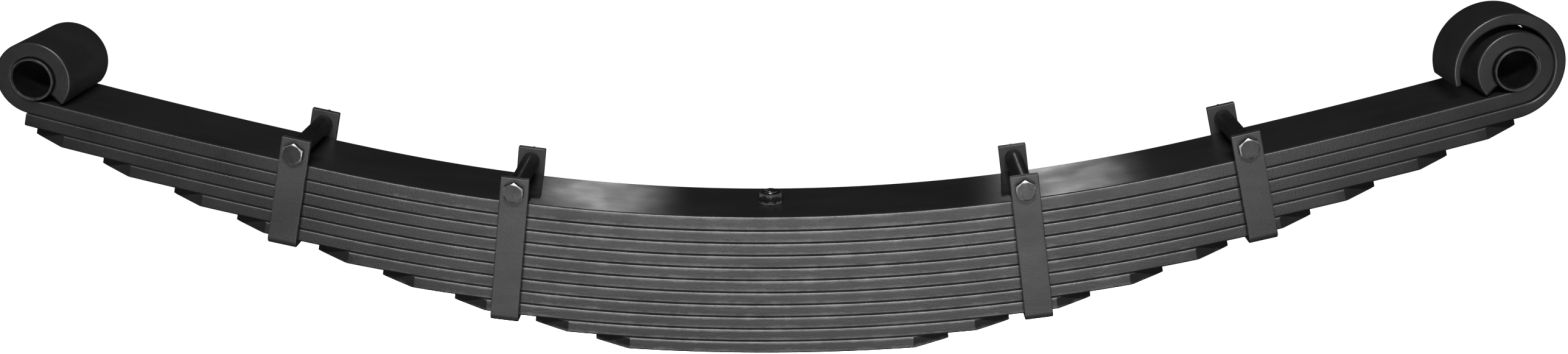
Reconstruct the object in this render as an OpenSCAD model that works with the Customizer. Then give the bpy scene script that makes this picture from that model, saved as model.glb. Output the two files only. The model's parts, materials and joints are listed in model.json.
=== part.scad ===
// Multi-leaf spring with rolled eyes, a wrapped front eye, rebound clips and a centre bolt.
// Origin: bottom face of the pack on the centre bolt's axis. +X to the front eye, +Z up.

/* [Leaves] */
// Width of every leaf
leaf_w = 90; // [70:1:110]
// Thickness of the main leaf, with the film of air below it
main_t = 15; // [11:0.5:18]
// Thickness of each other leaf, with the film of air below it
leaf_t = 13; // [9:0.5:15]
// Air left between neighbouring leaves
leaf_gap = 0.05; // [0.02:0.01:0.1]
// Radius of the main leaf's top face over its middle
middle_r = 1840; // [1700:10:2400]
// Half angle of the middle arc, in degrees
middle_a = 13; // [9:0.5:13]
// Radius of the main leaf's top face towards the eyes
end_r = 6000; // [3000:100:9000]
// Length of the cut on each side of a leaf's tip
tip_cut_l = 34; // [20:1:38]
// Depth of the cut on each side of a leaf's tip
tip_cut_w = 19; // [8:1:28]

/* [Eyes] */
// Distance along the main leaf from the centre bolt to each eye
eye_s = 725; // [725:1:760]
// Outer radius of the bushes pressed in the eyes
bush_r = 21; // [18:0.5:23]
// Bore radius of the bushes, which takes the shackle or hanger pin
bush_bore_r = 18; // [12:0.5:18]
// Length of the bushes
bush_l = 98; // [94:1:104]
// Interference of a bush in its eye, on the radius
press_depth = 0.02; // [0.01:0.01:0.04]
// Angle from straight down to the end of the rolled eye, on its inner side
roll_gap_a = 57; // [57:1:80]

/* [Front wrap] */
// Outer radius of the second leaf's wrap
wrap_outer_r = 52.3; // [52:0.1:54]
// Inner radius of the wrap below and in front of the eye
wrap_low_r = 30.3; // [30:0.1:31]
// Inner radius of the wrap over the top of the eye, down to its free end
wrap_high_r = 43.5; // [43:0.1:44]
// Width of the wrap, whose leaf is cut back from its back edge
wrap_w = 58; // [54:1:88]

/* [Clips] */
// Distance along the leaves from the centre bolt to the outer clips
outer_clip_s = 466; // [460:1:480]
// Distance along the leaves from the centre bolt to the inner clips
inner_clip_s = 250; // [245:1:254]
// Width of a clip's strap
strap_w = 28; // [20:1:32]
// Thickness of a clip's strap
strap_t = 6; // [4:0.5:7]
// Height of the clip's ears above the main leaf
ear_h = 27; // [25:1:32]
// Height of the clip bolt's axis above the main leaf
clip_bolt_h = 13.5; // [12:0.5:15]
// Side play between a leaf's edge and the clip
clip_play = 2; // [2:0.5:3]

/* [Fasteners] */
// Radius of the clip bolts
clip_bolt_r = 6; // [5:1:6]
// Size across flats of the clip bolts' heads and nuts
clip_flats = 19; // [17:1:19]
// Outer radius of the spacer tubes
tube_r = 9; // [8:0.5:10]
// Running clearance of tubes and nuts on their bolts, on the radius
thread_play = 0.05; // [0.02:0.01:0.08]
// Radius of the centre bolt
centre_bolt_r = 7; // [6:0.5:8]
// Radius of the centre bolt's dowel head, which sits in the axle seat
dowel_r = 11; // [9:0.5:12]
// Height of the dowel head below the pack
dowel_h = 12; // [8:1:14]
// Size across flats of the centre nut
centre_flats = 22; // [19:1:24]
// Radius of the clip rivets
rivet_r = 5; // [4:0.5:5]

/* [Hidden] */

$fn = 96;
// Segments of the leaves' arcs, and of the wrap
ARC_FN = 1440;
EYE_FN = 360;
// A length past every piece
FAR = 9000;
// Extra length of a cutting solid
CUT = 1;

// Distance from the centre bolt to the tips of leaves 3 to 11
tip_s = [722, 655, 583, 519, 436, 372, 302, 224, 166];
leaf_count = 11;
// The second leaf ends square at the rear, clear of the rear eye's bolt room
rear_second_s = 727;
// How far behind the eye's centre the wrap leaves the second leaf
wrap_start = 5;
// How far in front of the eye's centre its inner face starts to rise
wrap_low_x = 4;
// Directions, in the eye's own frame, of the change of inner radius and of the free end
wrap_blend_a = -30;
wrap_end_a = 188;
// Where along X the slanted cut reaches the width of the wrap, and how long the cut is
wrap_trim_x = 640;
wrap_trim_l = 60;

// How far a roll or wrap overlaps the straight leaf it starts from, and how much thinner it is
forge_lap = 1.5;
forge_step = 0.1;

pack_h = main_t + (leaf_count - 1) * leaf_t;
middle_s = middle_r * middle_a * PI / 180;
eye_outer_r = bush_r + main_t - leaf_gap;

hole_play = 0.5;
rivet_play = 0.1;
clip_floor_gap = 0.1;
bend_r = 2;
clip_hole_r = clip_bolt_r + hole_play;
clip_nut_h = 10;
clip_head_h = 7.5;
thread_end = 3;
ear_y = leaf_w / 2 + clip_play;
tube_end_play = 0.5;
rivet_head_r = 8.5;
rivet_head_h = 5;
rivet_sink_r = 8;
rivet_sink_h = 3;
centre_nut_h = 11;
centre_nut_gap = 0.05;
centre_end = 2;
// The number of leaves that each clip holds
outer_held = 6;
inner_held = 9;

steel_black = [0.16, 0.165, 0.17];
clip_black = [0.24, 0.245, 0.25];
bolt_grey = [0.42, 0.42, 0.42];
bush_grey = [0.36, 0.35, 0.33];

// Depth of a leaf's top face below the main leaf's top face
function top_d(k) = k == 1 ? 0 : main_t + (k - 2) * leaf_t;
function leaf_thick(k) = (k == 1 ? main_t : leaf_t) - leaf_gap;
// Slope of the leaves, in degrees, at a distance s along the main leaf
function slope(s) = s <= middle_s ? s / middle_r * 180 / PI
    : middle_a + (s - middle_s) / end_r * 180 / PI;
// Centres of the two arcs, in the XZ plane
middle_c = [0, pack_h + middle_r];
end_c = middle_c + (middle_r - end_r) * [sin(middle_a), -cos(middle_a)];
function arc_c(s) = s <= middle_s ? middle_c : end_c;
function arc_r(s) = s <= middle_s ? middle_r : end_r;
function leaf_point(s) = arc_c(s) + arc_r(s) * [sin(slope(s)), -cos(slope(s))];

// Puts its children on the main leaf's top face at s: local X outward, local Z off the leaf
module on_leaf(s) {
    p = leaf_point(s);
    translate([p[0], 0, p[1]]) rotate([0, -slope(s), 0]) children();
}

module rear() {
    mirror([1, 0, 0]) children();
}

// A ring of thickness t outside radius r, its centre at height r0
module ring(r0, r, t) {
    translate([0, r0]) difference() {
        circle(r = r + t, $fn = ARC_FN);
        circle(r = r, $fn = ARC_FN);
    }
}

// The part of the plane between two directions from [0, r0], as angles from straight down
module fan(r0, a0, a1) {
    polygon([
        [0, r0],
        [FAR * sin(a0), r0 - FAR * cos(a0)],
        [FAR * sin(a1), r0 - FAR * cos(a1)]
    ]);
}

// Puts its children on the end arc at s, where the point that both arcs share is the origin
module on_end_arc(s) {
    a = slope(s) - middle_a;
    translate([end_r * sin(a), end_r * (1 - cos(a))]) rotate(a) children();
}

// Half of a leaf that reaches past the middle arc, with its children added to its side view
module half_leaf(d, t, s) {
    intersection() {
        on_leaf(middle_s) translate([0, leaf_w / 2, 0]) rotate([90, 0, 0]) linear_extrude(leaf_w) {
            intersection() {
                ring(middle_r, middle_r + d, t);
                fan(middle_r, -middle_a - 1, 0);
            }
            intersection() {
                ring(end_r, end_r + d, t);
                fan(end_r, 0, slope(s) - middle_a);
            }
            children();
        }
        translate([0, -leaf_w, -leaf_w]) cube([2 * eye_s, 2 * leaf_w, 2 * eye_s]);
    }
}

// A whole leaf that ends within the middle arc
module short_leaf(d, t, s) {
    translate([0, leaf_w / 2, pack_h]) rotate([90, 0, 0]) linear_extrude(leaf_w) intersection() {
        ring(middle_r, middle_r + d, t);
        fan(middle_r, -slope(s), slope(s));
    }
}

// Cuts both corners off the tip of a leaf that ends at s
module tip_cutter(d, t, s) {
    half = leaf_w / 2;
    on_leaf(s) translate([0, 0, -d - t - CUT]) linear_extrude(t + 2 * CUT)
        for (side = [-1, 1]) {
            polygon([
                [-tip_cut_l - CUT, side * (half + CUT * tip_cut_w / tip_cut_l)],
                [CUT, side * (half - tip_cut_w - CUT * tip_cut_w / tip_cut_l)],
                [CUT, side * (half + tip_cut_w)],
                [-tip_cut_l - CUT, side * (half + tip_cut_w)]
            ]);
        }
}

module centre_hole() {
    translate([0, 0, -CUT]) cylinder(r = centre_bolt_r + hole_play / 2, h = pack_h + 2 * CUT);
}

// The rivet's hole through the leaf that a clip is fixed to: countersunk on top
module rivet_cutter(s, held) {
    d = top_d(held);
    on_leaf(s) translate([0, 0, -d]) {
        translate([0, 0, -leaf_t - CUT]) cylinder(r = rivet_r + rivet_play, h = leaf_t + 2 * CUT);
        translate([0, 0, -rivet_sink_h - rivet_play])
            cylinder(r1 = rivet_r + rivet_play, r2 = rivet_sink_r + rivet_play, h = rivet_sink_h);
        translate([0, 0, -rivet_play - CUT / 10])
            cylinder(r = rivet_sink_r + rivet_play, h = CUT);
    }
}

// Side view of an eye's full roll: a ring on top of the leaf, open on its inner side
module roll_outline() {
    hole_r = bush_r - press_depth;
    difference() {
        ring(bush_r, hole_r, eye_outer_r - forge_step - hole_r);
        intersection() {
            fan(bush_r, -roll_gap_a, 0);
            translate([-FAR - forge_lap, -FAR]) square(FAR);
        }
    }
}

// The main leaf: an eye rolled up from each end
module leaf_main() {
    color(steel_black) difference() {
        for (side = [0, 1]) mirror([side, 0, 0])
            half_leaf(0, leaf_thick(1), eye_s + forge_lap) on_end_arc(eye_s) roll_outline();
        centre_hole();
    }
}

// Side view of the room inside the wrap, above the second leaf's top face
module wrap_room() {
    floor_z = -main_t - forge_step;
    low_c = [wrap_low_x, floor_z + wrap_low_r];
    blend = [cos(wrap_blend_a), sin(wrap_blend_a)];
    translate(low_c) circle(r = wrap_low_r, $fn = EYE_FN);
    difference() {
        translate(low_c + (wrap_low_r - wrap_high_r) * blend) circle(r = wrap_high_r, $fn = EYE_FN);
        polygon([low_c, low_c + [0, -FAR], low_c + FAR * blend]);
        translate([-FAR, floor_z - FAR]) square([2 * FAR, FAR]);
    }
}

// Side view of the wrap, from where it leaves the second leaf to its free end
module wrap_outline() {
    start_x = -wrap_start - forge_lap;
    centre_z = wrap_outer_r - main_t - leaf_thick(2);
    difference() {
        translate([-wrap_start, centre_z]) circle(r = wrap_outer_r - forge_step, $fn = EYE_FN);
        wrap_room();
        polygon([
            [start_x, bush_r],
            [0, bush_r] + FAR * [cos(wrap_end_a), sin(wrap_end_a)],
            [-FAR, -FAR],
            [start_x, -FAR]
        ]);
    }
}

// Cuts the wrap's end of the second leaf to its narrower width
module wrap_trimmer() {
    half = leaf_w / 2;
    edge = wrap_w - half;
    spread = CUT * (half - edge) / wrap_trim_l;
    linear_extrude(2 * eye_s) polygon([
        [wrap_trim_x - wrap_trim_l - CUT, half + spread],
        [wrap_trim_x, edge],
        [2 * eye_s, edge],
        [2 * eye_s, leaf_w],
        [wrap_trim_x - wrap_trim_l - CUT, leaf_w]
    ]);
}

// The second leaf: square at the rear, wrapped loosely round the front eye
module leaf_second() {
    start_s = eye_s - wrap_start;
    color(steel_black) difference() {
        union() {
            half_leaf(top_d(2), leaf_thick(2), start_s + forge_lap) on_end_arc(eye_s) wrap_outline();
            rear() half_leaf(top_d(2), leaf_thick(2), rear_second_s);
        }
        wrap_trimmer();
        centre_hole();
    }
}

// A graduated leaf, number k from the top, with cut tips at both ends
module leaf_plain(k) {
    s = tip_s[k - 3];
    color(steel_black) difference() {
        if (s < middle_s) short_leaf(top_d(k), leaf_thick(k), s);
        else for (side = [0, 1]) mirror([side, 0, 0]) half_leaf(top_d(k), leaf_thick(k), s);
        tip_cutter(top_d(k), leaf_thick(k), s);
        rear() tip_cutter(top_d(k), leaf_thick(k), s);
        centre_hole();
        if (k == outer_held) {
            rivet_cutter(outer_clip_s, k);
            rear() rivet_cutter(outer_clip_s, k);
        }
        if (k == inner_held) {
            rivet_cutter(inner_clip_s, k);
            rear() rivet_cutter(inner_clip_s, k);
        }
    }
}

module leaf(k) {
    if (k == 1) leaf_main();
    else if (k == 2) leaf_second();
    else leaf_plain(k);
}

// A tube along Y, centred on the origin
module y_tube(outer, inner, l) {
    rotate([90, 0, 0]) difference() {
        cylinder(r = outer, h = l, center = true);
        cylinder(r = inner, h = l + 2 * CUT, center = true);
    }
}

module eye_bush() {
    color(bush_grey) on_leaf(eye_s) translate([0, 0, bush_r]) y_tube(bush_r, bush_bore_r, bush_l);
}

// A hexagon's radius to its corners, from its size across flats
function hex_r(flats) = flats / 2 / cos(30);

module hexagon(flats, h) {
    cylinder(r = hex_r(flats), h = h, $fn = 6);
}

module centre_bolt() {
    color(bolt_grey) {
        translate([0, 0, -dowel_h]) cylinder(r = dowel_r, h = dowel_h);
        cylinder(r = centre_bolt_r, h = pack_h + centre_nut_gap + centre_nut_h + centre_end);
    }
}

module centre_nut() {
    color(bolt_grey) translate([0, 0, pack_h + centre_nut_gap]) difference() {
        hexagon(centre_flats, centre_nut_h);
        translate([0, 0, -CUT]) cylinder(r = centre_bolt_r + thread_play, h = centre_nut_h + 2 * CUT);
    }
}

// Depth of a clip's inner floor below the main leaf's top face
function clip_floor(held) = top_d(held) + leaf_t + clip_floor_gap;

// A slot-shaped outline, open at the top: straight sides, floor at z0, lower corners of radius r
module u_fill(half, z0, z1, r) {
    translate([-half, z0 + r]) square([2 * half, z1 - z0 - r]);
    translate([-half + r, z0]) square([2 * (half - r), r + CUT]);
    for (side = [-1, 1]) translate([side * (half - r), z0 + r]) circle(r = r);
}

// A clip: a strap bent up round the leaves, with a bolt hole in each ear
module clip(held) {
    z0 = -clip_floor(held);
    color(clip_black) difference() {
        rotate([90, 0, 90]) translate([0, 0, -strap_w / 2]) linear_extrude(strap_w) difference() {
            u_fill(ear_y + strap_t, z0 - strap_t, ear_h, bend_r + strap_t);
            u_fill(ear_y, z0, ear_h + CUT, bend_r);
        }
        translate([0, 0, clip_bolt_h]) rotate([90, 0, 0])
            cylinder(r = clip_hole_r, h = 2 * (ear_y + strap_t + CUT), center = true);
        translate([0, 0, z0 - strap_t - CUT]) cylinder(r = rivet_r + rivet_play, h = strap_t + 2 * CUT);
    }
}

// A clip's bolt: head on the left side of the spring, shank through both ears
module clip_bolt() {
    head_y = -ear_y - strap_t;
    end_y = ear_y + strap_t + clip_nut_h + thread_end;
    color(bolt_grey) translate([0, 0, clip_bolt_h]) rotate([-90, 0, 0]) {
        translate([0, 0, head_y - clip_head_h]) hexagon(clip_flats, clip_head_h);
        translate([0, 0, head_y]) cylinder(r = clip_bolt_r, h = end_y - head_y);
    }
}

module clip_nut() {
    color(bolt_grey) translate([0, ear_y + strap_t, clip_bolt_h]) rotate([-90, 0, 0]) difference() {
        hexagon(clip_flats, clip_nut_h);
        translate([0, 0, -CUT]) cylinder(r = clip_bolt_r + thread_play, h = clip_nut_h + 2 * CUT);
    }
}

module clip_tube() {
    color(bolt_grey) translate([0, 0, clip_bolt_h])
        y_tube(tube_r, clip_bolt_r + thread_play, 2 * (ear_y - tube_end_play));
}

// A rivet: countersunk in the leaf, round head under the clip
module clip_rivet(held) {
    top = -top_d(held) - rivet_play;
    base = -clip_floor(held) - strap_t;
    dome_r = (rivet_head_r * rivet_head_r + rivet_head_h * rivet_head_h) / (2 * rivet_head_h);
    color(bolt_grey) {
        translate([0, 0, base]) cylinder(r = rivet_r, h = top - base);
        translate([0, 0, top - rivet_sink_h]) cylinder(r1 = rivet_r, r2 = rivet_sink_r, h = rivet_sink_h);
        intersection() {
            translate([0, 0, base - rivet_head_h + dome_r]) sphere(r = dome_r);
            translate([0, 0, base - rivet_head_h]) cylinder(r = 2 * rivet_head_r, h = rivet_head_h);
        }
    }
}

// One piece of the clip set at s, which holds that many leaves
module clip_piece(piece, s, held) {
    on_leaf(s) {
        if (piece == "clip") clip(held);
        if (piece == "bolt") clip_bolt();
        if (piece == "nut") clip_nut();
        if (piece == "tube") clip_tube();
        if (piece == "rivet") clip_rivet(held);
    }
}

for (k = [1:leaf_count]) leaf(k);
eye_bush();  // front_eye_bush
rear() eye_bush();  // rear_eye_bush
centre_bolt();
centre_nut();
for (piece = ["clip", "bolt", "nut", "tube", "rivet"]) {
    clip_piece(piece, outer_clip_s, outer_held);
    clip_piece(piece, inner_clip_s, inner_held);
    rear() clip_piece(piece, outer_clip_s, outer_held);
    rear() clip_piece(piece, inner_clip_s, inner_held);
}
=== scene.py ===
"""Looks of a multi-leaf spring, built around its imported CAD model."""
import json
from math import acos, atan2, cos, pi, radians, sin, sqrt, tan

import bmesh
import bpy
from mathutils import Matrix, Vector

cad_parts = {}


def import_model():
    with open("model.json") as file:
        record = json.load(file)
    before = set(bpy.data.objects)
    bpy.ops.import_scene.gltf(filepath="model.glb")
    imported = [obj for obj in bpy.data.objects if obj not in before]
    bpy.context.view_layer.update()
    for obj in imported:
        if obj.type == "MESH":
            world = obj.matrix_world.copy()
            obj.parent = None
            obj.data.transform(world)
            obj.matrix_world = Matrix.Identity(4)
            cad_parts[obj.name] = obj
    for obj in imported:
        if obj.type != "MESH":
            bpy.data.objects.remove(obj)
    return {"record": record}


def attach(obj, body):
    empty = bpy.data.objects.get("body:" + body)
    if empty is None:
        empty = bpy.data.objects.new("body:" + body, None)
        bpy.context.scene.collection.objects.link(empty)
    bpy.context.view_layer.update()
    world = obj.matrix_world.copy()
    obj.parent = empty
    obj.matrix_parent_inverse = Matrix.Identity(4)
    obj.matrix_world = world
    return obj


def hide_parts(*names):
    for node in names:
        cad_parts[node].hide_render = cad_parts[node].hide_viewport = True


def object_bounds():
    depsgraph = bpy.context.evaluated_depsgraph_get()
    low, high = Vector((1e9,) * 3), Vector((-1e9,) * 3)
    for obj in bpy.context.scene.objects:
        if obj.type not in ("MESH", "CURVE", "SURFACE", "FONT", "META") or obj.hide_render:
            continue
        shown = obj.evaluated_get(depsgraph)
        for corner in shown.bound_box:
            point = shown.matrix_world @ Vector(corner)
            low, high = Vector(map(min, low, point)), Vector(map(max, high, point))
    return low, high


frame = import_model()
cad_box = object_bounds()

# ---------------------------------------------------------------- dimensions, in millimetres
MM = 0.001
LEAF_W = 90.0
MAIN_T = 15.0
LEAF_T = 13.0
LEAF_GAP = 0.05
LEAF_COUNT = 11
MIDDLE_R = 1840.0
MIDDLE_A = radians(13)
END_R = 6000.0
MIDDLE_S = MIDDLE_R * MIDDLE_A
PACK_H = MAIN_T + (LEAF_COUNT - 1) * LEAF_T
TIP_S = dict(zip(range(3, 12), (722, 655, 583, 519, 436, 372, 302, 224, 166)))
TIP_CUT_L = 34.0
TIP_CUT_W = 19.0
REAR_SECOND_S = 727.0
EYE_S = 725.0
EDGE_R = 2.0        # the rolled edges of the spring stock
CUT_EDGE_R = 0.8    # edges left by shears
BUSH_R = 21.0
BUSH_BORE_R = 18.0
BUSH_L = 98.0
ROLL_GAP_A = radians(57)
WRAP_OUTER_R = 52.2
WRAP_START = 5.0
WRAP_LOW_X = 4.0
WRAP_LOW_R = 30.3
WRAP_HIGH_R = 43.5
WRAP_BLEND_A = radians(-30)
WRAP_END_A = radians(188)
WRAP_W = 58.0
WRAP_TRIM_X = 640.0
WRAP_TRIM_L = 60.0
CLIP_S = {"outer": 466.0, "inner": 250.0}
CLIP_HOLDS = {"outer": 6, "inner": 9}
STRAP_W = 28.0
STRAP_T = 6.0
EAR_H = 27.0
EAR_Y = LEAF_W / 2 + 2
CLIP_BOLT_H = 13.5
CLIP_BOLT_R = 6.0
CLIP_FLATS = 19.0
CLIP_HEAD_H = 7.5
CLIP_NUT_H = 10.0
THREAD_END = 3.0
THREAD_PITCH = 1.75
TUBE_R = 9.0
TUBE_L = 2 * (EAR_Y - 0.5)
CENTRE_BOLT_R = 7.0
CENTRE_FLATS = 22.0
CENTRE_NUT_H = 11.0
CENTRE_END = 2.0
CENTRE_PITCH = 2.0
DOWEL_R = 11.0
DOWEL_H = 12.0
RIVET_R = 5.0
RIVET_HEAD_R = 8.5
RIVET_HEAD_H = 5.0
RIVET_SINK_R = 8.0
RIVET_SINK_H = 3.0
RIVET_PLAY = 0.1
CLIP_FLOOR_GAP = 0.1    # between a clip's base and the lowest leaf it holds
PLAY = 0.05


# ---------------------------------------------------------------- where things are
def top_depth(k):
    """Depth of leaf k's top face below the main leaf's."""
    return 0.0 if k == 1 else MAIN_T + (k - 2) * LEAF_T


def slope(s):
    if s <= MIDDLE_S:
        return s / MIDDLE_R
    return MIDDLE_A + (s - MIDDLE_S) / END_R


def leaf_frame(s):
    """Matrix of the main leaf's top face at s: X along the leaf, Z off it. A negative s is the rear half."""
    a = slope(abs(s))
    centre = Vector((0, 0, PACK_H + MIDDLE_R))
    r = MIDDLE_R
    if abs(s) > MIDDLE_S:
        centre = centre + (MIDDLE_R - END_R) * Vector((sin(MIDDLE_A), 0, -cos(MIDDLE_A)))
        r = END_R
    p = centre + r * Vector((sin(a), 0, -cos(a)))
    if s < 0:
        p.x = -p.x
        a = -a
    return Matrix.Translation(p) @ Matrix.Rotation(-a, 4, "Y")


ACROSS = Vector((0, 1, 0))


# ---------------------------------------------------------------- meshes
CORNER_STEPS = 7
FLAT_STEPS = 6
# How far from the middle the leaves' edge mark dies away, in millimetres, and what is left of it past there:
# a painted highlight, brightest mid-span, that is partly rubbed paint
HIGHLIGHT_REACH = 560.0
HIGHLIGHT_LEAST = 0.15
# How the painted highlight and rubbed paint on a leaf's upper edge fade down its side: (share of the side's
# height, edge mark)
LEAF_EDGE_HIGHLIGHT = [(0.08, 0.6), (0.25, 0.25), (0.5, 0.05)]


def section(half, thick, r, leaf):
    """A rounded bar's outline as (across, depth, edge mark) points, clockwise from its top face. The edge
    mark is 1 on a
    rubbed edge: all four of a strap's, but mostly the upper two of a leaf's, where it is partly rubbed paint
    and partly a painted highlight on the rounding and the top of the side."""
    points = []
    highlight_fade = LEAF_EDGE_HIGHLIGHT if leaf else []

    def corner(cx, cz, start):
        for j in range(CORNER_STEPS + 1):
            a = radians(start - 90 * j / CORNER_STEPS)
            wear_and_highlight = sin(pi * j / CORNER_STEPS)
            # A leaf's upper corners carry a painted highlight, partly rubbed paint, brightest where the
            # rounding meets the side; its lower corners are only lightly rubbed
            if leaf:
                wear_and_highlight = abs(cos(a)) if sin(a) > -0.001 else 0.4 * wear_and_highlight
            points.append((cx + r * cos(a), cz + r * sin(a), wear_and_highlight))

    def highlighted_side(x, rows):
        for down, wear_and_highlight in rows:
            points.append((x, -r - down * (thick - 2 * r), wear_and_highlight))

    def flat(x0, x1, z):
        for j in range(1, FLAT_STEPS):
            points.append((x0 + (x1 - x0) * j / FLAT_STEPS, z, 0.0))

    w = half - r
    flat(-w, w, 0.0)
    corner(w, -r, 90)
    highlighted_side(half, highlight_fade)
    corner(w, -thick + r, 0)
    flat(w, -w, -thick)
    corner(-w, -thick + r, -90)
    highlighted_side(-half, highlight_fade[::-1])
    corner(-w, -r, 180)
    return points


def swept_bar(name, stations, end_r, leaf=True):
    """A bar swept through stations, each (point on its inner face, inward normal, direction across, half
    width, thickness, edge radius). end_r rounds the edges of its two ends."""
    verts, faces, wear_and_highlight_values = [], [], []

    def ring(p, n, across, half, thick, r):
        start = len(verts)
        # The leaves' painted highlight and rub fade from the middle towards the ends; a strap's edges keep
        # their rub all along
        rub_and_highlight = max(HIGHLIGHT_LEAST, 1 - (p.x / HIGHLIGHT_REACH) ** 2) if leaf else 1.0
        for x, z, wear_and_highlight in section(half, thick, r, leaf):
            verts.append(p + across * x + n * z)
            wear_and_highlight_values.append(wear_and_highlight * rub_and_highlight)
        return list(range(start, len(verts)))

    def end_rings(station, out, f):
        p, n, across, half, thick, r = station
        rings = []
        steps = 3
        for j in range(steps + 1):
            a = pi / 2 * j / steps
            inset = f * (1 - cos(a))
            rings.append(ring(p + out * (f * sin(a) - f) - n * inset, n, across, half - inset,
                              thick - 2 * inset, max(r - inset, 0.3)))
        return rings

    def outward(a, b):
        return (b[0] - b[1] * b[4] / 2 - a[0] + a[1] * a[4] / 2).normalized()

    first = end_rings(stations[0], outward(stations[1], stations[0]), end_r[0])
    last = end_rings(stations[-1], outward(stations[-2], stations[-1]), end_r[1])
    rings = first[::-1] + [ring(*st) for st in stations[1:-1]] + last
    for a, b in zip(rings, rings[1:]):
        for i in range(len(a)):
            j = (i + 1) % len(a)
            faces.append((a[i], a[j], b[j], b[i]))
    faces.append(tuple(rings[0][::-1]))
    faces.append(tuple(rings[-1]))
    return make_object(name, verts, faces, wear_and_highlight_values)


def make_object(name, verts, faces, wear_and_highlight_values=None, place=None):
    mesh = bpy.data.meshes.new(name)
    if place is not None:
        verts = [place @ Vector(v) for v in verts]
    mesh.from_pydata([tuple(Vector(v) * MM) for v in verts], [], faces)
    # The edge mark: rubbed edges, and on the leaves and bolt heads a painted highlight as well
    attribute = mesh.attributes.new("wear_and_highlight", "FLOAT", "POINT")
    if wear_and_highlight_values:
        attribute.data.foreach_set("value", wear_and_highlight_values)
    bm = bmesh.new()
    bm.from_mesh(mesh)
    bmesh.ops.recalc_face_normals(bm, faces=bm.faces)
    bm.to_mesh(mesh)
    bm.free()
    mesh.shade_smooth()
    mesh.update()
    obj = bpy.data.objects.new(name, mesh)
    bpy.context.scene.collection.objects.link(obj)
    return obj


def apply_modifiers(obj):
    bpy.context.view_layer.update()
    graph = bpy.context.evaluated_depsgraph_get()
    mesh = bpy.data.meshes.new_from_object(obj.evaluated_get(graph))
    obj.modifiers.clear()
    obj.data = mesh
    return obj


def lathe(name, profile, steps, place, closed=False):
    """A solid turned about local Z from (radius, height, wear) points. A closed profile makes a tube."""
    verts, faces, wear_and_highlight_values = [], [], []
    for r, z, wear_and_highlight in profile:
        for i in range(steps):
            a = 2 * pi * i / steps
            verts.append((r * cos(a), r * sin(a), z))
            wear_and_highlight_values.append(wear_and_highlight)
    rows = len(profile)
    for k in range(rows if closed else rows - 1):
        for i in range(steps):
            j = (i + 1) % steps
            n = (k + 1) % rows
            faces.append((k * steps + i, k * steps + j, n * steps + j, n * steps + i))
    if not closed:
        faces.append(tuple(range(steps))[::-1])
        faces.append(tuple(range((rows - 1) * steps, rows * steps)))
    return make_object(name, verts, faces, wear_and_highlight_values, place)


def join(name, parts):
    """One object from several, each of which is already in place."""
    bm = bmesh.new()
    for part in parts:
        bm.from_mesh(part.data)
    mesh = bpy.data.meshes.new(name)
    bm.to_mesh(mesh)
    bm.free()
    for part in parts:
        bpy.data.objects.remove(part)
    obj = bpy.data.objects.new(name, mesh)
    bpy.context.scene.collection.objects.link(obj)
    return obj


def drill(obj, centre, axis, r, depth):
    """Cuts a round hole of that depth through obj, centred on a point, in millimetres."""
    turn = Vector((0, 0, 1)).rotation_difference(Vector(axis)).to_matrix().to_4x4()
    place = Matrix.Translation(centre) @ turn
    tool = lathe("drill_bit", [(r, -depth / 2, 0), (r, depth / 2, 0)], 64, place)
    cut = obj.modifiers.new("hole", "BOOLEAN")
    cut.operation = "DIFFERENCE"
    cut.solver = "EXACT"
    cut.object = tool
    apply_modifiers(obj)
    bpy.data.objects.remove(tool)
    return obj


SHARP_A = radians(35)


def even_normals(obj):
    """Keeps flats flat beside their rounded edges, and creases sharper than SHARP_A crisp."""
    bm = bmesh.new()
    bm.from_mesh(obj.data)
    for e in bm.edges:
        if len(e.link_faces) == 2:
            e.smooth = e.calc_face_angle() < SHARP_A
    bm.to_mesh(obj.data)
    bm.free()
    weighted = obj.modifiers.new("weighted", "WEIGHTED_NORMAL")
    weighted.keep_sharp = True
    weighted.weight = 80
    return obj


# ---------------------------------------------------------------- the leaves
def spread(a, b, step):
    """Even steps from a to b, without b."""
    count = max(1, round(abs(b - a) / step))
    return [a + (b - a) * i / count for i in range(count)]


def strip_station(s, depth, thick, half=LEAF_W / 2, r=EDGE_R):
    m = leaf_frame(s)
    n = m.to_3x3() @ Vector((0, 0, 1))
    return (m.translation - n * depth, n, ACROSS, half, thick, r)


def tip_stations(s_end, depth, thick):
    """From the start of the tip's corner cuts to its end."""
    start = s_end - TIP_CUT_L
    taper = TIP_CUT_W / TIP_CUT_L
    out = []
    for x in [0, 1, 2.5, 4, 5.5, 7, 8.5, 10, 14, 18, 22, 26, 30, TIP_CUT_L]:
        cut = x * taper
        out.append(strip_station(start + x, depth, thick, LEAF_W / 2 - cut, max(EDGE_R - cut, CUT_EDGE_R)))
    return out


def mirrored(stations):
    """The same stations on the rear half."""
    def flip(v):
        return Vector((-v.x, v.y, v.z))
    return [(flip(p), flip(n), across, *rest) for p, n, across, *rest in stations]


def plain_leaf(k):
    depth = top_depth(k)
    thick = LEAF_T - LEAF_GAP
    s_end = TIP_S[k]
    tip = tip_stations(s_end, depth, thick)
    middle = [strip_station(s, depth, thick) for s in spread(-(s_end - TIP_CUT_L), s_end - TIP_CUT_L, 12)]
    return swept_bar(f"leaf_{k}_bar", mirrored(tip)[::-1] + middle[1:] + tip, (CUT_EDGE_R, CUT_EDGE_R))


def eye_local(x, z, side=1):
    """A point of the eye's own frame, whose origin is on the main leaf's top face below the eye."""
    p = leaf_frame(EYE_S) @ Vector((x, 0, z))
    return Vector((side * p.x, 0, p.z))


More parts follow.
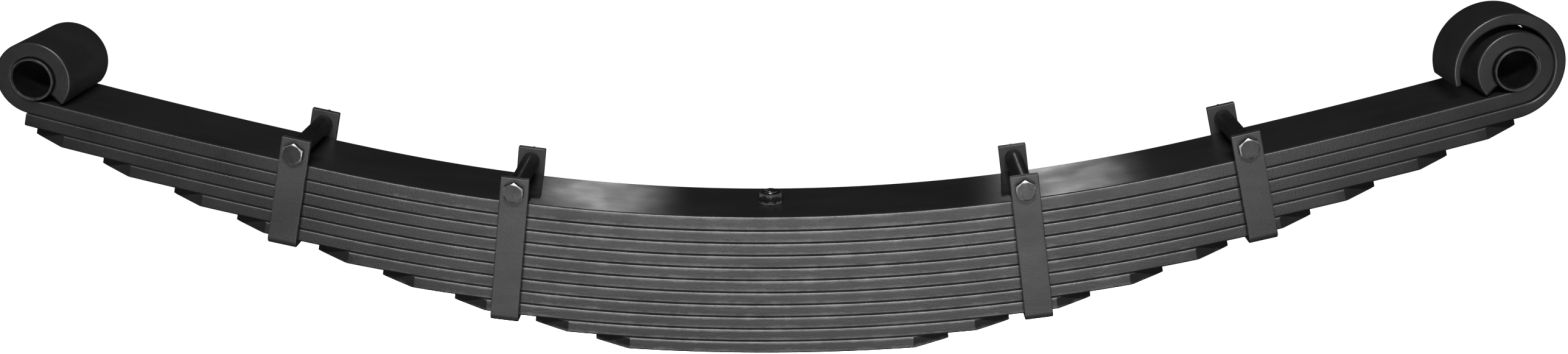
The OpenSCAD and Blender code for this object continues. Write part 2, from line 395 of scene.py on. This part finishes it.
def roll_stations():
    """Round the front eye, from straight below its centre to its end on the inner side."""
    thick = MAIN_T - LEAF_GAP
    end = 2 * pi - ROLL_GAP_A
    out = []
    for a in spread(0, end, radians(4)) + [end]:
        direction = Vector((sin(a), 0, -cos(a)))
        p = eye_local(BUSH_R * direction.x, BUSH_R + BUSH_R * direction.z)
        n = (eye_local(0, BUSH_R) - p).normalized()
        out.append((p, n, ACROSS, LEAF_W / 2, thick, EDGE_R))
    return out


def main_leaf():
    thick = MAIN_T - LEAF_GAP
    roll = roll_stations()
    middle = [strip_station(s, 0, thick) for s in spread(-EYE_S, EYE_S, 12)]
    return swept_bar("main_leaf_bar", mirrored(roll)[::-1] + middle[1:] + roll, (2.5, 2.5))


def ray_to_circle(origin, u, centre, r):
    """Distance along the ray to where it leaves the circle."""
    ox, oz = origin[0] - centre[0], origin[1] - centre[1]
    b = ox * u[0] + oz * u[1]
    return -b + sqrt(b * b - ox * ox - oz * oz + r * r)


def wrap_stations():
    """From where the second leaf leaves the main one, round the front eye to its free end."""
    floor_z = -MAIN_T
    out_c = (-WRAP_START, WRAP_OUTER_R + floor_z - LEAF_T + LEAF_GAP)
    low_c = (WRAP_LOW_X, floor_z + WRAP_LOW_R)
    blend = (cos(WRAP_BLEND_A), sin(WRAP_BLEND_A))
    high_c = tuple(low_c[i] + (WRAP_LOW_R - WRAP_HIGH_R) * blend[i] for i in (0, 1))
    out = []
    first, last = -pi / 2, WRAP_END_A - radians(1.5)
    for a in spread(first, last, radians(4)) + [last]:
        u = (cos(a), sin(a))
        if a < -pi / 4 and out_c[0] + (floor_z - out_c[1]) / u[1] * u[0] <= WRAP_LOW_X:
            inner = (floor_z - out_c[1]) / u[1]
        else:
            inner = ray_to_circle(out_c, u, low_c, WRAP_LOW_R)
            x, z = out_c[0] + inner * u[0] - low_c[0], out_c[1] + inner * u[1] - low_c[1]
            if atan2(z, x) > WRAP_BLEND_A or a > 0:
                inner = ray_to_circle(out_c, u, high_c, WRAP_HIGH_R)
        p = eye_local(out_c[0] + inner * u[0], out_c[1] + inner * u[1])
        q = eye_local(out_c[0] + WRAP_OUTER_R * u[0], out_c[1] + WRAP_OUTER_R * u[1])
        thick = (q - p).length
        out.append((p, (p - q).normalized(), ACROSS, LEAF_W / 2, thick, min(EDGE_R, thick / 2 - 0.2)))
    return out


def trimmed(stations):
    """The second leaf's stations, with the wrap's end cut back from the back edge to its own width."""
    out = []
    for p, n, across, half, thick, r in stations:
        cut = min(1.0, max(0.0, (p.x - WRAP_TRIM_X + WRAP_TRIM_L) / WRAP_TRIM_L)) * (LEAF_W - WRAP_W)
        out.append((p - across * (cut / 2), n, across, half - cut / 2, thick, r))
    return out


def second_leaf():
    depth = top_depth(2)
    thick = LEAF_T - LEAF_GAP
    stations = [strip_station(s, depth, thick) for s in spread(-REAR_SECOND_S, EYE_S - WRAP_START, 12)]
    return swept_bar("second_leaf_bar", trimmed(stations + wrap_stations()), (1.0, 1.5))


def centre_drill(obj):
    return drill(obj, Vector((0, 0, PACK_H / 2)), (0, 0, 1), CENTRE_BOLT_R + 0.25, PACK_H + 20)


def rivet_drill(obj, kind):
    depth = top_depth(CLIP_HOLDS[kind])
    for side in (1, -1):
        m = leaf_frame(side * CLIP_S[kind])
        n = m.to_3x3() @ Vector((0, 0, 1))
        drill(obj, m.translation - n * (depth + LEAF_T), n, RIVET_R + RIVET_PLAY, 3 * LEAF_T)
    return obj


# ---------------------------------------------------------------- turned and hexagonal pieces
def tube_profile(outer, inner, length, bevel):
    half = length / 2
    return [
        (outer - bevel, -half, 1.0), (outer, -half + bevel, 0.6), (outer, -half + 3 * bevel, 0.0),
        (outer, 0, 0.0),
        (outer, half - 3 * bevel, 0.0), (outer, half - bevel, 0.6), (outer - bevel, half, 1.0),
        (inner + bevel, half, 1.0), (inner, half - bevel, 0.6), (inner, 0, 0.0),
        (inner, -half + bevel, 0.6), (inner + bevel, -half, 1.0),
    ]


HEX_SIDE_STEPS = 8


def hex_solid(name, flats, height, hole, place, both=False):
    """A hexagon whose top edge is turned to a cone, and its bottom edge too if both. hole is its bore's
    radius, or 0 for none."""
    steps = 6 * HEX_SIDE_STEPS
    apothem = flats / 2
    flat_r = 0.95 * apothem
    cone = tan(radians(28))

    def outline(i):
        a = (i % HEX_SIDE_STEPS) / HEX_SIDE_STEPS * pi / 3 - pi / 6
        return apothem / cos(a)

    rows = []
    inner = hole or 0.35 * apothem
    rows.append([(inner, 0.0, 0.2)] * steps)
    rows.append([(flat_r - 0.4, 0.0, 0.3)] * steps)
    if both:
        rows.append([(flat_r, 0.0, 0.8)] * steps)
        rows.append([(outline(i), (outline(i) - flat_r) * cone, 1.0) for i in range(steps)])
    else:
        rows.append([(flat_r, 0.0, 0.5)] * steps)
        rows.append([(flat_r, 0.5, 0.4)] * steps)
        rows.append([(outline(i), 0.5, 1.0) for i in range(steps)])
    rows.append([(outline(i), height / 2, 0.5 if i % HEX_SIDE_STEPS == 0 else 0.0) for i in range(steps)])
    rows.append([(outline(i), height - (outline(i) - flat_r) * cone, 1.0) for i in range(steps)])
    rows.append([(flat_r, height, 0.8)] * steps)
    rows.append([(flat_r - 0.8, height, 0.2)] * steps)
    rows.append([(inner, height, 0.2)] * steps)
    verts, faces, wear_and_highlight_values = [], [], []
    for row in rows:
        for i, (r, z, wear_and_highlight) in enumerate(row):
            a = 2 * pi * i / steps - pi / 6
            verts.append((r * cos(a), r * sin(a), z))
            wear_and_highlight_values.append(wear_and_highlight)
    count = len(rows)
    for k in range(count if hole else count - 1):
        for i in range(steps):
            j = (i + 1) % steps
            n = (k + 1) % count
            faces.append((k * steps + i, k * steps + j, n * steps + j, n * steps + i))
    if not hole:
        faces.append(tuple(range(steps))[::-1])
        faces.append(tuple(range((count - 1) * steps, count * steps)))
    return make_object(name, verts, faces, wear_and_highlight_values, place)


def threaded_rod(name, r, z0, thread_z, z1, pitch, place):
    """A shank from z0, plain to thread_z, then with a single-start thread to z1 and a coned end."""
    steps = 36
    per_turn = 6
    rows = [(z0, 0), (thread_z - pitch, 0)]
    count = round((z1 - thread_z) / pitch * per_turn)
    rows += [(thread_z + (z1 - thread_z) * i / count, 1) for i in range(count + 1)]
    deep = 0.6 * pitch
    verts, faces, wear_and_highlight_values = [], [], []
    for z, cut in rows:
        for i in range(steps):
            a = 2 * pi * i / steps
            turn = (z / pitch - i / steps) % 1.0
            ridge = 1 - abs(2 * turn - 1)
            edge_r = r - max(0.0, z - (z1 - 1.2)) * 0.9
            rr = min(r - cut * deep * (1 - ridge), edge_r)
            verts.append((rr * cos(a), rr * sin(a), z))
            wear_and_highlight_values.append(ridge * cut)
    for k in range(len(rows) - 1):
        for i in range(steps):
            j = (i + 1) % steps
            faces.append((k * steps + i, k * steps + j, (k + 1) * steps + j, (k + 1) * steps + i))
    faces.append(tuple(range(steps))[::-1])
    faces.append(tuple(range((len(rows) - 1) * steps, len(rows) * steps)))
    return make_object(name, verts, faces, wear_and_highlight_values, place)


def along_y(m):
    """The frame m, turned so that local Z runs across the spring to its back."""
    return m @ Matrix.Rotation(-pi / 2, 4, "X")


# ---------------------------------------------------------------- the clips
def clip_strap(name, kind, s):
    """A flat strap bent up round the leaves that the clip holds."""
    m = leaf_frame(s)
    floor_z = -(top_depth(CLIP_HOLDS[kind]) + LEAF_T + CLIP_FLOOR_GAP)
    bend = 2.0
    path = []
    for z in spread(EAR_H, floor_z + bend, 20):
        path.append((-EAR_Y, z, 1.0, 0.0))
    for i in range(7):
        a = radians(15 * i)
        path.append((-EAR_Y + bend - bend * cos(a), floor_z + bend - bend * sin(a), cos(a), sin(a)))
    for y in spread(-EAR_Y + bend, EAR_Y - bend, 15)[1:]:
        path.append((y, floor_z, 0.0, 1.0))
    turn = m.to_3x3()
    stations = []
    back = [(-y, z, -ny, nz) for y, z, ny, nz in path if y < -EAR_Y + bend + 0.001][::-1]
    for y, z, ny, nz in path + back:
        p = m @ Vector((0, y, z))
        n = turn @ Vector((0, ny, nz))
        stations.append((p, n, turn @ Vector((1, 0, 0)), STRAP_W / 2, STRAP_T, 1.1))
    obj = swept_bar(name, stations, (1.0, 1.0), leaf=False)
    drill(obj, m @ Vector((0, 0, CLIP_BOLT_H)), (0, 1, 0), CLIP_BOLT_R + 0.5, 4 * EAR_Y)
    base = m @ Vector((0, 0, floor_z - STRAP_T / 2))
    drill(obj, base, turn @ Vector((0, 0, 1)), RIVET_R + RIVET_PLAY, 3 * STRAP_T)
    return obj


def clip_bolt(name, s):
    m = leaf_frame(s) @ Matrix.Translation((0, 0, CLIP_BOLT_H))
    y0 = EAR_Y + STRAP_T
    flip = Matrix.Rotation(pi / 2, 4, "X")
    head = hex_solid(name, CLIP_FLATS, CLIP_HEAD_H, 0, m @ Matrix.Translation((0, -y0, 0)) @ flip)
    end = y0 + CLIP_NUT_H + THREAD_END
    rod = threaded_rod(name, CLIP_BOLT_R, -y0 - 0.4, y0 - 6, end, THREAD_PITCH, along_y(m))
    return join(name, [head, rod])


def clip_nut(name, s):
    m = leaf_frame(s) @ Matrix.Translation((0, EAR_Y + STRAP_T, CLIP_BOLT_H))
    return hex_solid(name, CLIP_FLATS, CLIP_NUT_H, CLIP_BOLT_R + PLAY, along_y(m), both=True)


def clip_tube(name, s):
    m = leaf_frame(s) @ Matrix.Translation((0, 0, CLIP_BOLT_H))
    return lathe(name, tube_profile(TUBE_R, CLIP_BOLT_R + PLAY, TUBE_L, 0.5), 64, along_y(m), closed=True)


def clip_rivet(name, kind, s):
    held = CLIP_HOLDS[kind]
    top = -top_depth(held) - RIVET_PLAY
    base = -(top_depth(held) + LEAF_T + CLIP_FLOOR_GAP) - STRAP_T
    dome_r = (RIVET_HEAD_R ** 2 + RIVET_HEAD_H ** 2) / (2 * RIVET_HEAD_H)
    profile = []
    for i in range(1, 9):
        a = i / 8 * acos(1 - RIVET_HEAD_H / dome_r)
        profile.append((dome_r * sin(a), base - RIVET_HEAD_H + dome_r - dome_r * cos(a), i / 8))
    profile += [(RIVET_R, base, 0.0), (RIVET_R, top - RIVET_SINK_H, 0.0), (RIVET_SINK_R, top, 0.0)]
    return lathe(name, profile, 48, leaf_frame(s))


# ---------------------------------------------------------------- bushes and the centre bolt
def eye_bush(name, side):
    m = Matrix.Translation(eye_local(0, BUSH_R, side))
    half = BUSH_L / 2
    profile = [
        (BUSH_R - 0.7, -half, 1.0), (BUSH_R, -half + 0.7, 0.7), (BUSH_R, -half + 3, 0.0),
        (BUSH_R, half - 3, 0.0), (BUSH_R, half - 0.7, 0.7), (BUSH_R - 0.7, half, 1.0),
        (BUSH_BORE_R + 1.0, half, 1.0), (BUSH_BORE_R, half - 1.4, 0.7), (BUSH_BORE_R, half - 4, 0.0),
        (BUSH_BORE_R, -half + 4, 0.0), (BUSH_BORE_R, -half + 1.4, 0.7), (BUSH_BORE_R + 1.0, -half, 1.0),
    ]
    return lathe(name, profile, 96, along_y(m), closed=True)


def centre_bolt(name):
    head = lathe(name, [
        (DOWEL_R - 1.5, -DOWEL_H, 0.8), (DOWEL_R - 0.4, -DOWEL_H + 0.6, 1.0), (DOWEL_R, -DOWEL_H + 1.6, 0.6),
        (DOWEL_R, -0.8, 0.0), (DOWEL_R - 0.5, 0, 0.6),
    ], 64, Matrix.Identity(4))
    top = PACK_H + PLAY + CENTRE_NUT_H + CENTRE_END
    rod = threaded_rod(name, CENTRE_BOLT_R, -0.5, PACK_H - 6, top, CENTRE_PITCH, Matrix.Identity(4))
    return join(name, [head, rod])


def centre_nut(name):
    place = Matrix.Translation((0, 0, PACK_H + PLAY))
    return hex_solid(name, CENTRE_FLATS, CENTRE_NUT_H, CENTRE_BOLT_R + PLAY, place, both=True)


# ---------------------------------------------------------------- materials
class Nodes:
    """Short names for building a material's nodes."""

    def __init__(self, name):
        self.mat = bpy.data.materials.new(name)
        self.mat.use_nodes = True
        self.tree = self.mat.node_tree
        self.shader = self.tree.nodes["Principled BSDF"]
        self.coords = self.tree.nodes.new("ShaderNodeTexCoord").outputs["Object"]

    def add(self, kind, **inputs):
        node = self.tree.nodes.new(kind)
        for key, value in inputs.items():
            self.put(node, key.replace("_", " "), value)
        return node

    def put(self, node, key, value):
        socket = node.inputs[int(key[1:])] if key[0] == "i" and key[1:].isdigit() else node.inputs[key]
        if isinstance(value, bpy.types.NodeSocket):
            self.tree.links.new(value, socket)
        else:
            socket.default_value = value

    def stretched(self, scale):
        node = self.add("ShaderNodeMapping", Vector=self.coords, Scale=scale)
        return node.outputs["Vector"]

    def noise(self, scale, detail=4.0, rough=0.55, vector=None):
        node = self.add("ShaderNodeTexNoise", Vector=vector or self.coords, Scale=scale, Detail=detail,
                        Roughness=rough)
        return node.outputs["Fac"]

    def ramp(self, value, low, high, to_low=0.0, to_high=1.0):
        node = self.add("ShaderNodeMapRange", Value=value)
        node.inputs["From Min"].default_value = low
        node.inputs["From Max"].default_value = high
        node.inputs["To Min"].default_value = to_low
        node.inputs["To Max"].default_value = to_high
        return node.outputs["Result"]

    def math(self, kind, a, b):
        node = self.tree.nodes.new("ShaderNodeMath")
        node.operation = kind
        self.put(node, "i0", a)
        self.put(node, "i1", b)
        return node.outputs[0]

    def mix(self, factor, a, b):
        node = self.tree.nodes.new("ShaderNodeMix")
        node.data_type = "RGBA"
        self.put(node, "Factor", factor)
        self.put(node, "i6", a)
        self.put(node, "i7", b)
        return node.outputs[2]

    # Reads the edge mark: rubbed edges, which on the leaves and bolt heads are also a painted highlight
    def wear_and_highlight(self):
        node = self.tree.nodes.new("ShaderNodeAttribute")
        node.attribute_name = "wear_and_highlight"
        return node.outputs["Fac"]

    def bump(self, height, strength, distance, normal=None):
        node = self.add("ShaderNodeBump", Height=height, Strength=strength, Distance=distance)
        if normal is not None:
            self.put(node, "Normal", normal)
        return node.outputs["Normal"]

    def set(self, **inputs):
        for key, value in inputs.items():
            self.put(self.shader, key.replace("_", " "), value)


def grey(v, warm=0.0):
    return (v * (1 + warm), v, v * (1 - warm), 1.0)


def black_paint(name, level, bare_and_highlight_grey, wear_highlight_low, wear_highlight_high, shine):
    """Sprayed black paint over rolled steel: dusty, a little orange-peeled, thin and rubbed on the edges,
    whose pale grey on the leaves is also a painted highlight.
    """
    n = Nodes(name)
    cloud = n.noise(9.0, 6.0, 0.6)
    along = n.noise(30.0, 5.0, 0.6, n.stretched((0.12, 1.0, 1.0)))
    speck = n.noise(420.0, 3.0, 0.7)
    base = n.mix(n.ramp(cloud, 0.3, 0.7), grey(level * 0.8), grey(level * 1.25))
    base = n.mix(n.ramp(along, 0.45, 0.75, 0.0, 0.5), base, grey(level * 1.7, 0.03))
    dust = n.math("MULTIPLY", n.ramp(speck, 0.58, 0.72), n.ramp(cloud, 0.4, 0.7))
    base = n.mix(n.math("MULTIPLY", dust, 0.35), base, grey(level * 3.2, 0.04))
    # Pale grey on the edges: rubbed paint, and on the leaves a painted highlight
    rub_and_highlight = n.math("ADD", n.wear_and_highlight(), n.ramp(n.noise(55.0, 6.0, 0.7), 0.25, 0.75, -0.55, 0.35))
    rubbed_and_highlit = n.ramp(rub_and_highlight, wear_highlight_low, wear_highlight_high)
    base = n.mix(rubbed_and_highlit, base, grey(bare_and_highlight_grey, 0.02))
    rough = n.ramp(n.noise(22.0, 6.0, 0.65), 0.25, 0.75, shine - 0.07, shine + 0.11)
    normal = n.bump(n.noise(650.0, 2.0, 0.5), 0.25, 0.0004)
    normal = n.bump(along, 0.35, 0.0012, normal)
    n.set(Base_Color=base, Roughness=rough, Normal=normal)
    return n.mat


def oiled_steel(name, level, bare_and_highlight_grey, shine):
    """Dark steel with turning marks, brighter where it rubs; on the bolt heads that brighter grey is also a
    painted highlight.
    """
    n = Nodes(name)
    cloud = n.noise(70.0, 5.0, 0.6)
    base = n.mix(n.ramp(cloud, 0.3, 0.7), grey(level * 0.7, 0.03), grey(level * 1.3))
    # Brighter edges and thread crests: rubbed steel, and on the bolt heads a painted highlight
    rub_and_highlight = n.math("ADD", n.wear_and_highlight(), n.ramp(n.noise(240.0, 5.0, 0.7), 0.25, 0.75, -0.5, 0.4))
    base = n.mix(n.ramp(rub_and_highlight, 0.45, 1.0), base, grey(bare_and_highlight_grey))
    rough = n.ramp(n.noise(160.0, 5.0, 0.6), 0.25, 0.75, shine - 0.08, shine + 0.12)
    normal = n.bump(n.noise(900.0, 3.0, 0.6), 0.2, 0.0003)
    n.set(Base_Color=base, Roughness=rough, Normal=normal, Metallic=0.85)
    return n.mat


MATERIALS = {
    # The leaves' pale edge grey is partly a painted highlight, partly bare steel
    "leaf_paint": black_paint("leaf_black_paint", 0.013, 0.11, 0.35, 1.3, 0.33),
    "clip_paint": black_paint("clip_grey_paint", 0.021, 0.09, 0.65, 1.2, 0.42),
    # The bolts' rubbed grey is partly a painted highlight on their heads
    "fastener_steel": oiled_steel("fastener_oiled_steel", 0.045, 0.4, 0.34),
    "bush_steel": oiled_steel("bush_oiled_steel", 0.03, 0.09, 0.42),
}


SLOTS = {p["node"]: p["material_slot"] for p in frame["record"]["subparts"]}


def finish_piece(obj, node, body="spring"):
    used = SLOTS[node]
    obj.data.materials.clear()
    obj.data.materials.append(MATERIALS[used])
    even_normals(obj)
    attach(obj, body)
    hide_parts(node)


# ---------------------------------------------------------------- build every piece
def build_leaves():
    finish_piece(centre_drill(main_leaf()), "leaf_1")
    finish_piece(centre_drill(second_leaf()), "leaf_2")
    for k in TIP_S:
        leaf = centre_drill(plain_leaf(k))
        for kind, held in CLIP_HOLDS.items():
            if k == held:
                rivet_drill(leaf, kind)
        finish_piece(leaf, f"leaf_{k}")


def build_clips():
    for end, side in (("front", 1), ("rear", -1)):
        for kind in CLIP_S:
            s = side * CLIP_S[kind]
            group = f"{end}_{kind}"
            finish_piece(clip_strap(group + "_strap", kind, s), group + "_clip")
            finish_piece(clip_bolt(group + "_hex_bolt", s), group + "_bolt")
            finish_piece(clip_nut(group + "_hex_nut", s), group + "_nut")
            finish_piece(clip_tube(group + "_spacer", s), group + "_tube", group + "_tube_body")
            finish_piece(clip_rivet(group + "_round_rivet", kind, s), group + "_rivet")


def build_bushes_and_centre():
    finish_piece(eye_bush("front_bush_sleeve", 1), "front_eye_bush")
    finish_piece(eye_bush("rear_bush_sleeve", -1), "rear_eye_bush")
    finish_piece(centre_bolt("centre_bolt_turned"), "centre_bolt")
    finish_piece(centre_nut("centre_hex_nut"), "centre_nut")


build_leaves()
build_clips()
build_bushes_and_centre()


# ---------------------------------------------------------------- studio
def camera():
    yaw, pitch, roll = -0.021533, 0.298513, -0.011954
    focal_share = 1.03890      # focal length over the frame's width
    right0 = Vector((cos(yaw), -sin(yaw), 0))
    ahead0 = Vector((sin(yaw), cos(yaw), 0))
    up = Vector((0, 0, 1))
    ahead = ahead0 * cos(pitch) - up * sin(pitch)
    down0 = -up * cos(pitch) - ahead0 * sin(pitch)
    right = right0 * cos(roll) - down0 * sin(roll)
    down = right0 * sin(roll) + down0 * cos(roll)
    data = bpy.data.cameras.new("camera")
    data.sensor_width = 36
    data.lens = 36 * focal_share
    data.shift_y = -0.01888
    obj = bpy.data.objects.new("camera", data)
    turn = Matrix((right, -down, -ahead)).transposed().to_4x4()
    obj.matrix_world = Matrix.Translation((0.0473, -1.5462, 0.6783)) @ turn
    bpy.context.scene.collection.objects.link(obj)
    bpy.context.scene.camera = obj


def floor():
    """A pale sheet well below the spring, lit from within as a light table is. Only the camera sees it: it
    is kept out of reflections and bounced light, so that the metal stays black."""
    size = 14.0
    z = cad_box[0][2] - 0.9
    mesh = bpy.data.meshes.new("floor")
    corners = [(-size, -size, z), (size, -size, z), (size, size, z), (-size, size, z)]
    mesh.from_pydata(corners, [], [(0, 1, 2, 3)])
    mat = bpy.data.materials.new("pale_floor")
    mat.use_nodes = True
    shader = mat.node_tree.nodes["Principled BSDF"]
    shader.inputs["Base Color"].default_value = (0.8, 0.8, 0.8, 1)
    shader.inputs["Roughness"].default_value = 0.9
    shader.inputs["Specular IOR Level"].default_value = 0.0
    shader.inputs["Emission Color"].default_value = (1, 1, 1, 1)
    shader.inputs["Emission Strength"].default_value = 1.0
    mesh.materials.append(mat)
    obj = bpy.data.objects.new("floor", mesh)
    obj.visible_diffuse = False
    obj.visible_glossy = False
    bpy.context.scene.collection.objects.link(obj)


def softbox(name, place, target, size, power):
    data = bpy.data.lights.new(name, "AREA")
    data.shape = "RECTANGLE"
    data.size, data.size_y = size
    data.energy = power
    obj = bpy.data.objects.new(name, data)
    obj.location = place
    obj.rotation_euler = (Vector(target) - Vector(place)).to_track_quat("-Z", "Y").to_euler()
    bpy.context.scene.collection.objects.link(obj)
    return obj


def world(seen, felt):
    """A pale room to the eye, but a dim one to the metal, so that the top faces stay black."""
    w = bpy.data.worlds.new("world")
    w.use_nodes = True
    tree = w.node_tree
    back = tree.nodes["Background"]
    path = tree.nodes.new("ShaderNodeLightPath")
    level = tree.nodes.new("ShaderNodeMapRange")
    level.inputs["To Min"].default_value = felt
    level.inputs["To Max"].default_value = seen
    tree.links.new(path.outputs["Is Camera Ray"], level.inputs["Value"])
    tree.links.new(level.outputs["Result"], back.inputs["Strength"])
    back.inputs["Color"].default_value = (1, 1, 1, 1)
    bpy.context.scene.world = w


# Where the narrow beams for the main leaf's top face come from: how far, how steep and how wide
PATCH_AWAY = 2.6
PATCH_RISE = radians(20)
PATCH_BEAM = radians(2.5)
PATCH_SIZE = (0.09, 0.35)


def patch_light(name, x, tilt, power):
    """A small narrow-beamed softbox far behind, mirrored by one stretch of the main leaf's top face."""
    target = Vector((x, 0, 0.15))
    level = cos(PATCH_RISE)
    place = target + PATCH_AWAY * Vector((sin(tilt) * level, cos(tilt) * level, sin(PATCH_RISE)))
    softbox(name, place, target, PATCH_SIZE, power).data.spread = PATCH_BEAM


camera()
floor()
world(1.0, 0.018)
softbox("edge_strip", (0, -2.0, 1.9), (0, 0, 0.1), (1.1, 0.2), 80)
softbox("front_low", (0.05, -2.6, -0.3), (0, 0, 0.1), (2.1, 1.2), 35)
softbox("front_high", (0.2, -2.8, 1.2), (0, 0, 0.1), (2.4, 0.8), 14)
back_low = softbox("back_low", (0, 2.6, -0.35), (0, 0, 0.1), (2.2, 0.8), 110)
back_low.visible_glossy = False     # it lights the back without a glint on the rolled eyes
patch_light("left_patch", -0.175, -0.075, 0.0036)
patch_light("right_patch", 0.29, 0.043, 0.0036)
bpy.context.scene.view_settings.view_transform = "Standard"
